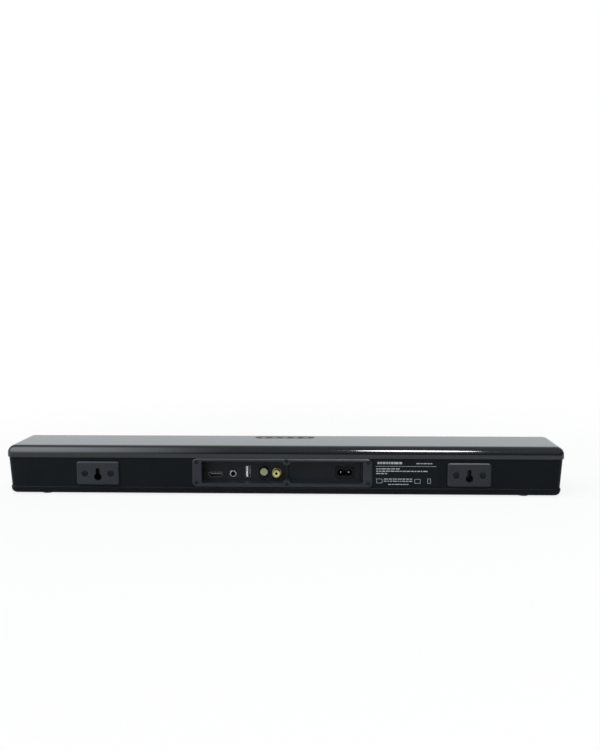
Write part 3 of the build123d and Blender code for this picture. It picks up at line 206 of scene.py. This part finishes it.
def make_material(
    name, color, roughness, metallic=0.0, specular=0.5, variation=0.15, mottle=40, grain=None
):
    """A procedural finish.

    roughness is (smoothest, roughest). variation darkens and lightens the colour by that share, in
    patches of 1/mottle metres. grain is (cells per metre, depth in metres) of the moulded texture.
    """
    material = bpy.data.materials.new(name)
    material.use_nodes = True
    tree = material.node_tree
    shader = tree.nodes["Principled BSDF"]
    shader.inputs["Metallic"].default_value = metallic
    shader.inputs["Specular IOR Level"].default_value = specular
    place = tree.nodes.new("ShaderNodeTexCoord")
    patches = tree.nodes.new("ShaderNodeTexNoise")
    patches.inputs["Scale"].default_value = mottle
    patches.inputs["Detail"].default_value = 5
    tree.links.new(place.outputs["Object"], patches.inputs["Vector"])
    tint = tree.nodes.new("ShaderNodeValToRGB")
    dark, light = tint.color_ramp.elements
    dark.position, light.position = PATCH_LOW, PATCH_HIGH
    dark.color = (*[c * (1 - variation) for c in color], 1)
    light.color = (*[min(1, c * (1 + variation)) for c in color], 1)
    tree.links.new(patches.outputs["Fac"], tint.inputs["Fac"])
    tree.links.new(tint.outputs["Color"], shader.inputs["Base Color"])
    dulling = add_ramp(
        tree, patches.outputs["Fac"], PATCH_LOW, PATCH_HIGH, *roughness, smooth=False
    )
    tree.links.new(dulling, shader.inputs["Roughness"])
    if grain:
        cells = tree.nodes.new("ShaderNodeTexNoise")
        cells.inputs["Scale"].default_value = grain[0]
        cells.inputs["Detail"].default_value = 3
        tree.links.new(place.outputs["Object"], cells.inputs["Vector"])
        bump = tree.nodes.new("ShaderNodeBump")
        bump.inputs["Distance"].default_value = grain[1]
        bump.inputs["Strength"].default_value = 1.0
        tree.links.new(cells.outputs["Fac"], bump.inputs["Height"])
        tree.links.new(bump.outputs["Normal"], shader.inputs["Normal"])
    return material


FINISHES = {
    # casings and the panel
    "gloss_black": dict(color=(0.004, 0.0055, 0.0065), roughness=(0.06, 0.08), mottle=14),
    "satin_black": dict(
        color=(0.0016, 0.0028, 0.0037), roughness=(0.34, 0.42), specular=0.1, grain=(2600, 2e-5)
    ),
    "charcoal": dict(
        color=(0.0085, 0.0108, 0.0148), roughness=(0.36, 0.42), specular=0.27, grain=(2200, 2e-5)
    ),
    "recess_black": dict(
        color=(0.009, 0.0115, 0.0135), roughness=(0.36, 0.44), specular=0.15, grain=(2200, 2e-5)
    ),
    "black_inner": dict(color=(0.012, 0.012, 0.012), roughness=(0.55, 0.7), grain=(1800, 3e-5)),
    "grille_black": dict(
        color=(0.012, 0.012, 0.013), roughness=(0.4, 0.5), specular=0.35, grain=(5000, 1e-5)
    ),
    "smoked_window": dict(color=(0.004, 0.004, 0.005), roughness=(0.03, 0.06), mottle=30),
    "button_black": dict(color=(0.012, 0.012, 0.013), roughness=(0.25, 0.32), mottle=200),
    "label_black": dict(
        color=(0.0018, 0.003, 0.004), roughness=(0.34, 0.42), specular=0.11, mottle=60
    ),
    "rubber_black": dict(color=(0.014, 0.014, 0.014), roughness=(0.65, 0.8), grain=(3000, 2e-5)),
    # sockets and screws
    "dark_shell": dict(color=(0.16, 0.16, 0.165), roughness=(0.3, 0.42), metallic=1.0, mottle=300),
    "gilt": dict(color=(0.42, 0.34, 0.12), roughness=(0.25, 0.36), metallic=1.0, mottle=300),
    "nickel": dict(color=(0.36, 0.37, 0.38), roughness=(0.2, 0.32), metallic=1.0, mottle=300),
    "contact_white": dict(
        color=(0.85, 0.86, 0.88), roughness=(0.4, 0.5), mottle=200, variation=0.05
    ),
    "socket_black": dict(
        color=(0.0045, 0.0058, 0.0068), roughness=(0.35, 0.5), specular=0.14, grain=(3000, 1.5e-5)
    ),
    "cap_olive": dict(color=(0.15, 0.175, 0.09), roughness=(0.4, 0.5), mottle=500, variation=0.12),
    "coax_yellow": dict(
        color=(0.37, 0.37, 0.15), roughness=(0.3, 0.4), mottle=300, variation=0.08
    ),
    "black_screw": dict(
        color=(0.006, 0.0075, 0.0095), roughness=(0.3, 0.42), metallic=0.3, specular=0.2, mottle=400
    ),
    "plain_screw": dict(color=(0.55, 0.55, 0.55), roughness=(0.25, 0.4), metallic=1.0, mottle=400),
    # inside
    "frame_steel": dict(
        color=(0.05, 0.05, 0.055), roughness=(0.4, 0.55), metallic=0.6, grain=(1500, 2e-5)
    ),
    "magnet_grey": dict(color=(0.10, 0.10, 0.105), roughness=(0.5, 0.7), grain=(1200, 6e-5)),
    "cone_black": dict(
        color=(0.02, 0.02, 0.021), roughness=(0.6, 0.75), mottle=120, grain=(900, 8e-5)
    ),
    "spider_amber": dict(
        color=(0.42, 0.22, 0.07), roughness=(0.7, 0.85), mottle=200, grain=(1500, 1e-4)
    ),
    "board_green": dict(
        color=(0.012, 0.10, 0.04), roughness=(0.3, 0.42), mottle=220, variation=0.3
    ),
    "component_black": dict(color=(0.02, 0.02, 0.022), roughness=(0.4, 0.55), mottle=200),
    "sink_aluminium": dict(color=(0.7, 0.7, 0.71), roughness=(0.3, 0.45), metallic=1.0, mottle=100),
    "transformer_yellow": dict(color=(0.55, 0.42, 0.06), roughness=(0.4, 0.5), mottle=150),
    "lead_red": dict(color=(0.4, 0.02, 0.015), roughness=(0.45, 0.55), mottle=300),
    "lead_brown": dict(color=(0.14, 0.05, 0.02), roughness=(0.45, 0.55), mottle=300),
    "ribbon_grey": dict(color=(0.6, 0.6, 0.6), roughness=(0.4, 0.5), mottle=300),
}
MATERIALS = {slot: make_material(slot, **finish) for slot, finish in FINISHES.items()}
PRINT_GREY = make_material("print_grey", (0.2, 0.215, 0.23), (0.5, 0.6), mottle=600, variation=0.1)


def finish_cad_nodes():
    """Gives every CAD node the finish of its slot."""
    for part in frame["record"]["subparts"]:
        node = frame["nodes"][part["node"]]
        node.data.materials.clear()
        node.data.materials.append(MATERIALS[part["material_slot"]])


# ---------------------------------------------------------------- mesh helpers
def rectangle(u0, v0, u1, v1):
    return [(u0, v0), (u1, v0), (u1, v1), (u0, v1)]


def arc_points(radius, start, end, steps):
    """Points on an arc about the origin, between two angles in degrees."""
    angles = [radians(start + (end - start) * i / steps) for i in range(steps + 1)]
    return [(radius * cos(angle), radius * sin(angle)) for angle in angles]


def add_piece(name, mesh, material, body=BODY):
    """Links a finished mesh as a piece that rides on body."""
    piece = bpy.data.objects.new(name, mesh)
    bpy.context.scene.collection.objects.link(piece)
    mesh.materials.append(material)
    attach(piece, body)
    return piece


def mesh_from(bm, name):
    """Joins the points that meet, turns the faces outwards and returns the mesh."""
    bmesh.ops.remove_doubles(bm, verts=bm.verts, dist=1e-6)
    bmesh.ops.recalc_face_normals(bm, faces=bm.faces)
    mesh = bpy.data.meshes.new(name)
    bm.to_mesh(mesh)
    bm.free()
    return mesh


def add_face(bm, points):
    bm.faces.new([bm.verts.new(point) for point in points])


def add_closed_loops(bm, loops):
    """Skins a ring of closed loops, each with as many points, the last one back to the first."""
    rings = [[bm.verts.new(point) for point in loop] for loop in loops]
    for a, b in zip(rings, rings[1:] + rings[:1]):
        for i in range(len(a)):
            j = (i + 1) % len(a)
            bm.faces.new((a[i], a[j], b[j], b[i]))


def make_plane(origin, *axes):
    """Returns the function that places (u, v, depth) from origin, along the three axes."""
    origin = Vector(origin)
    u_axis, v_axis, depth_axis = [Vector(axis) for axis in axes]

    def place(u, v, depth):
        return origin + u * u_axis + v * v_axis + depth * depth_axis

    return place


def add_slab(bm, outline, low, high, place):
    """Closed slab with the outline (u, v) points, between the depths low and high."""
    bottom = [bm.verts.new(place(u, v, low)) for u, v in outline]
    top = [bm.verts.new(place(u, v, high)) for u, v in outline]
    bm.faces.new(bottom)
    bm.faces.new(list(reversed(top)))
    for i in range(len(outline)):
        j = (i + 1) % len(outline)
        bm.faces.new((bottom[i], top[i], top[j], bottom[j]))


# ---------------------------------------------------------------- grille
GRILLE_PITCH = 2.4 * MM  # from hole to hole in a row
GRILLE_ROW = 2.1 * MM  # from row to row
GRILLE_HOLE_R = 0.76 * MM
GRILLE_SHEET_T = 0.6 * MM
GRILLE_BOW = 1.2 * MM  # how far the upper and lower edges stand back from the middle
GRILLE_END_MARGINS = 4 * MM  # least plain length, both ends together
GRILLE_EDGE_MARGINS = 2.5 * MM  # least plain height, top and bottom together
GRILLE_FOLD_R = 0.5 * MM
GRILLE_FOLD_DEPTH = 1.8 * MM
WINDOW_MARGIN = 0.8 * MM  # no hole starts nearer than this to the display window


def make_window_test():
    """Returns the function that tells whether a hole at (x, z) would run into the display window."""
    low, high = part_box("display_window")
    middle = (low + high) / 2
    radius = (high.z - low.z) / 2
    straight = (high.x - low.x) / 2 - radius

    def meets_window(x, z):
        beyond = max(0, abs(x - middle.x) - straight)
        return sqrt(beyond**2 + (z - middle.z) ** 2) < radius + WINDOW_MARGIN

    return meets_window


def add_hole_rows(bm, on_sheet, start_x, start_z, columns, rows):
    """Rows of cells with a round hole each. Every second row is shifted by half a cell."""
    half_w, half_h = GRILLE_PITCH / 2, GRILLE_ROW / 2
    rim = [(half_w, 0), (half_w, half_h), (0, half_h), (-half_w, half_h)]
    rim += [(-half_w, 0), (-half_w, -half_h), (0, -half_h), (half_w, -half_h)]
    sides = len(rim)
    hole = arc_points(GRILLE_HOLE_R, 0, 360, sides)[:sides]
    meets_window = make_window_test()
    for row in range(rows):
        shifted = row % 2
        z = start_z + (row + 0.5) * GRILLE_ROW
        for column in range(columns - shifted):
            x = start_x + (column + 0.5) * GRILLE_PITCH + shifted * half_w
            if meets_window(x, z):
                continue
            outer = [bm.verts.new(on_sheet(x + dx, z + dz)) for dx, dz in rim]
            inner = [bm.verts.new(on_sheet(x + dx, z + dz)) for dx, dz in hole]
            for i in range(sides):
                j = (i + 1) % sides
                bm.faces.new((outer[i], outer[j], inner[j], inner[i]))
        if shifted:
            # plain half cells at both ends
            for side in (-1, 1):
                x_out = side * columns * GRILLE_PITCH / 2
                x_in = x_out - side * half_w
                for z0, z1 in ((z - half_h, z), (z, z + half_h)):
                    corners = rectangle(x_out, z0, x_in, z1)
                    add_face(bm, [on_sheet(*corner) for corner in corners])


def add_end_margins(bm, on_sheet, spans, start_z, rows):
    """Plain strips beside the rows. spans are their (x0, x1)."""
    half_row = GRILLE_ROW / 2
    for row in range(rows):
        for z0 in (start_z + row * GRILLE_ROW, start_z + (row + 0.5) * GRILLE_ROW):
            for x0, x1 in spans:
                corners = rectangle(x0, z0, x1, z0 + half_row)
                add_face(bm, [on_sheet(*corner) for corner in corners])


def add_folded_edge(bm, on_sheet, stops, inside, edge, way):
    """The plain strip from the height inside to edge, and its fold backwards. way points inwards."""
    fold_start = on_sheet(0, edge + way * GRILLE_FOLD_R)
    profile = [(on_sheet(0, inside).y, inside), (fold_start.y, fold_start.z)]
    profile.append((fold_start.y + GRILLE_FOLD_R * 0.3, edge + way * GRILLE_FOLD_R * 0.3))
    profile.append((fold_start.y + GRILLE_FOLD_R, edge))
    profile.append((fold_start.y + GRILLE_FOLD_DEPTH, edge))
    for x0, x1 in zip(stops, stops[1:]):
        for (y0, z0), (y1, z1) in zip(profile, profile[1:]):
            add_face(bm, [(x0, y0, z0), (x1, y0, z0), (x1, y1, z1), (x0, y1, z1)])


def make_grille():
    """The perforated sheet: a bowed sheet with round holes, plain margins and folded edges."""
    low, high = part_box("front_grille")
    middle_z = (low.z + high.z) / 2
    half_height = (high.z - low.z) / 2

    def on_sheet(x, z):
        return Vector((x, low.y + GRILLE_BOW * ((z - middle_z) / half_height) ** 2, z))

    columns = int((high.x - low.x - GRILLE_END_MARGINS) / GRILLE_PITCH)
    rows = int((high.z - low.z - GRILLE_EDGE_MARGINS) / GRILLE_ROW)
    start_x = -columns * GRILLE_PITCH / 2
    start_z = middle_z - rows * GRILLE_ROW / 2
    end_z = start_z + rows * GRILLE_ROW
    # the strips above and below have a point wherever a cell of either row has one
    stops = [start_x + i * GRILLE_PITCH / 2 for i in range(2 * columns + 1)]
    stops = [low.x] + stops + [high.x]
    bm = bmesh.new()
    add_hole_rows(bm, on_sheet, start_x, start_z, columns, rows)
    add_end_margins(bm, on_sheet, ((low.x, start_x), (-start_x, high.x)), start_z, rows)
    add_folded_edge(bm, on_sheet, stops, start_z, low.z, 1)
    add_folded_edge(bm, on_sheet, stops, end_z, high.z, -1)
    mesh = mesh_from(bm, "perforated_grille")
    grille = add_piece("perforated_grille", mesh, MATERIALS["grille_black"])
    thicken = grille.modifiers.new("thickness", "SOLIDIFY")
    thicken.thickness = GRILLE_SHEET_T
    thicken.offset = -1
    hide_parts("front_grille")


WINDOW_FRAME_PROUD = 0.15 * MM
# Section of the ring, in mm: out from the window's edge, back from the ring's front face.
WINDOW_FRAME_SECTION = ((0.1, 1.6), (0.1, 0.3), (0.4, 0), (1.5, 0), (1.9, 0.3), (1.9, 1.6))


def make_window_frame():
    """A thin raised ring round the display window, over the cut edge of the perforated sheet."""
    low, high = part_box("display_window")
    middle = (low + high) / 2
    radius = (high.z - low.z) / 2
    straight = (high.x - low.x) / 2 - radius
    steps = 20

    def stadium(grow):
        right_end = [(straight + u, v) for u, v in arc_points(radius + grow, -90, 90, steps)]
        left_end = [(u - straight, v) for u, v in arc_points(radius + grow, 90, 270, steps)]
        return [(middle.x + u, middle.z + v) for u, v in right_end + left_end]

    front = low.y - WINDOW_FRAME_PROUD
    bm = bmesh.new()
    loops = []
    for out, back in WINDOW_FRAME_SECTION:
        loops.append([(x, front + back * MM, z) for x, z in stadium(out * MM)])
    add_closed_loops(bm, loops)
    mesh = mesh_from(bm, "window_frame")
    add_piece("window_frame", mesh, MATERIALS["satin_black"])


# ---------------------------------------------------------------- prints and small details
PRINT_T = 0.03  # mm
# Places on the label are shares of its width and height, from its upper left corner.
RULE = (0.03, 0.245, 0.97, 0.257)
# Each row of dashes: left, right, top, bottom.
DASH_ROWS = (
    (0.06, 0.44, 0.09, 0.17),
    (0.66, 0.92, 0.13, 0.165),
    (0.04, 0.42, 0.325, 0.36),
    (0.04, 0.84, 0.41, 0.445),
    (0.04, 0.22, 0.495, 0.53),
    (0.16, 0.60, 0.695, 0.725),
    (0.16, 0.60, 0.775, 0.805),
    (0.23, 0.55, 0.89, 0.92),
)
DASH_SHORTEST, DASH_LONGEST, DASH_GAP = 0.02, 0.07, 0.012
LAST_DASH = 0.01  # nothing shorter than this is left to fill at the end of a row
# Each outlined box: middle across, middle down, half width, half height.
LABEL_BOXES = ((0.09, 0.78, 0.045, 0.08), (0.68, 0.79, 0.045, 0.08), (0.86, 0.78, 0.026, 0.09))
BOX_LINE_W, BOX_LINE_H = 0.006, 0.012  # upright lines, level lines


def box_outline(u, v, half_u, half_v):
    """The four bars of an outlined box, as rectangles."""
    left, right, top, bottom = u - half_u, u + half_u, v - half_v, v + half_v
    return (
        rectangle(left, top, right, top + BOX_LINE_H),
        rectangle(left, bottom - BOX_LINE_H, right, bottom),
        rectangle(left, top + BOX_LINE_H, left + BOX_LINE_W, bottom - BOX_LINE_H),
        rectangle(right - BOX_LINE_W, top + BOX_LINE_H, right, bottom - BOX_LINE_H),
    )


def make_label_print():
    """Rows of plain dashes and small outlined boxes on the rating label."""
    low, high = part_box("rating_label")
    on_label = make_plane(high, (low.x - high.x, 0, 0), (0, 0, low.z - high.z), (0, MM, 0))
    rng = random.Random(4)
    outlines = [rectangle(*RULE)]
    for left, right, top, bottom in DASH_ROWS:
        start = left
        while start < right - LAST_DASH:
            dash = min(rng.uniform(DASH_SHORTEST, DASH_LONGEST), right - start)
            outlines.append(rectangle(start, top, start + dash, bottom))
            start += dash + DASH_GAP
    for box in LABEL_BOXES:
        outlines += box_outline(*box)
    bm = bmesh.new()
    for outline in outlines:
        add_slab(bm, outline, 0, PRINT_T, on_label)
    add_piece("label_print", mesh_from(bm, "label_print"), PRINT_GREY)


# Spring contacts, in mm: how many, pitch, half width.
HDMI_CONTACTS = (10, 1.0, 0.2)
HDMI_CONTACT_DEPTH = 3.2  # from the mouth of the shell to the contacts
HDMI_TONGUE_DOWN = 0.15  # from the middle of the socket to the lower side of its tongue
USB_CONTACTS = (4, 2.5, 0.5)
USB_CONTACT_DEPTH = 0.8  # from the end of the tongue to the contacts
USB_TONGUE_ACROSS = 3.05  # from the outside of the shell to the contact side of the tongue
CONTACT_LENGTH = 6
CONTACT_T = 0.08


def make_socket_contacts():
    """Spring contacts on the HDMI and USB tongues."""
    hdmi_low, hdmi_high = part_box("hdmi_port")
    hdmi_middle = (hdmi_low + hdmi_high) / 2
    tongue_low, tongue_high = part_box("usb_tongue")
    shell_low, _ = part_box("usb_shell")
    inwards, along_x, against_x, up, down = (0, -MM, 0), (MM, 0, 0), (-MM, 0, 0), (0, 0, MM), (0, 0, -MM)
    hdmi_start = (
        hdmi_middle.x,
        hdmi_high.y - HDMI_CONTACT_DEPTH * MM,
        hdmi_middle.z - HDMI_TONGUE_DOWN * MM,
    )
    usb_start = (
        shell_low.x + USB_TONGUE_ACROSS * MM,
        tongue_high.y - USB_CONTACT_DEPTH * MM,
        (tongue_low.z + tongue_high.z) / 2,
    )
    bm = bmesh.new()
    for contacts, plane in (
        (HDMI_CONTACTS, make_plane(hdmi_start, along_x, inwards, down)),
        (USB_CONTACTS, make_plane(usb_start, up, inwards, against_x)),
    ):
        count, pitch, half_width = contacts
        for i in range(count):
            middle = (i - (count - 1) / 2) * pitch
            outline = rectangle(middle - half_width, 0, middle + half_width, CONTACT_LENGTH)
            add_slab(bm, outline, 0, CONTACT_T, plane)
    mesh = mesh_from(bm, "socket_contacts")
    add_piece("socket_contacts", mesh, MATERIALS["gilt"])


# The liner is the socket's contact, coloured near black as painted shade down the bore.
COAX_LINER_OUTER_R = 1.62 * MM
COAX_LINER_INNER_R = 1.35 * MM
COAX_LINER_START = -0.15 * MM
COAX_LINER_END = -9 * MM


def make_coax_contact():
    """The sprung contact that lines the bore of the coaxial socket. Its near-black colour is painted
    shade for the dark bore.
    """
    _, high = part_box("coax_body")
    ring_low, ring_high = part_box("coax_barrel")
    middle = (ring_low + ring_high) / 2
    steps = 24
    profile = (
        (COAX_LINER_OUTER_R, COAX_LINER_START),
        (COAX_LINER_OUTER_R, COAX_LINER_END),
        (COAX_LINER_INNER_R, COAX_LINER_END),
        (COAX_LINER_INNER_R, COAX_LINER_START),
    )
    loops = []
    for radius, depth in profile:
        circle = arc_points(radius, 0, 360, steps)[:steps]
        loops.append([(middle.x + u, high.y + depth, middle.z + v) for u, v in circle])
    bm = bmesh.new()
    add_closed_loops(bm, loops)
    mesh = mesh_from(bm, "coax_contact_and_bore_shade")
    # socket_black here is painted shade: it darkens the bore in place of the contact's own metal colour.
    add_piece("coax_contact_and_bore_shade", mesh, MATERIALS["socket_black"])


# Signs of the buttons as outlines in mm, about the middle of each cap.
POWER_RING = arc_points(1.7, 120, 420, 24) + arc_points(1.35, 420, 120, 24)
BUTTON_SIGNS = {
    "source": [
        rectangle(-1.7, -0.18, 0.3, 0.18),
        [(0.3, -0.7), (1.1, 0), (0.3, 0.7)],
        rectangle(1.3, -1.2, 1.65, 1.2),
    ],
    "volume_down": [rectangle(-1.5, -0.18, 1.5, 0.18)],
    "power": [POWER_RING, rectangle(-0.17, 0.5, 0.17, 2.1)],
    "volume_up": [
        rectangle(-1.5, -0.18, 1.5, 0.18),
        rectangle(-0.18, 0.18, 0.18, 1.5),
        rectangle(-0.18, -1.5, 0.18, -0.18),
    ],
    "play": [
        [(-1.6, -1.1), (0.1, 0), (-1.6, 1.1)],
        rectangle(0.5, -1.1, 0.85, 1.1),
        rectangle(1.2, -1.1, 1.55, 1.1),
    ],
}


def make_button_marks():
    """The usual signs on the buttons: source arrow, minus, power, plus, play and pause."""
    for name, outlines in BUTTON_SIGNS.items():
        low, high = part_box(f"button_{name}")
        middle = (low + high) / 2
        on_cap = make_plane((middle.x, middle.y, high.z), (MM, 0, 0), (0, MM, 0), (0, 0, MM))
        bm = bmesh.new()
        for outline in outlines:
            add_slab(bm, outline, 0, PRINT_T, on_cap)
        mesh = mesh_from(bm, f"mark_{name}")
        add_piece(f"mark_{name}", mesh, PRINT_GREY, body=f"button_{name}")


# ---------------------------------------------------------------- build
bpy.context.scene.view_settings.view_transform = "Standard"
make_camera()
make_world()
make_floor()
make_key_light()
finish_cad_nodes()
make_grille()
make_window_frame()
make_label_print()
make_socket_contacts()
make_coax_contact()
make_button_marks()

bpy.context.view_layer.update()
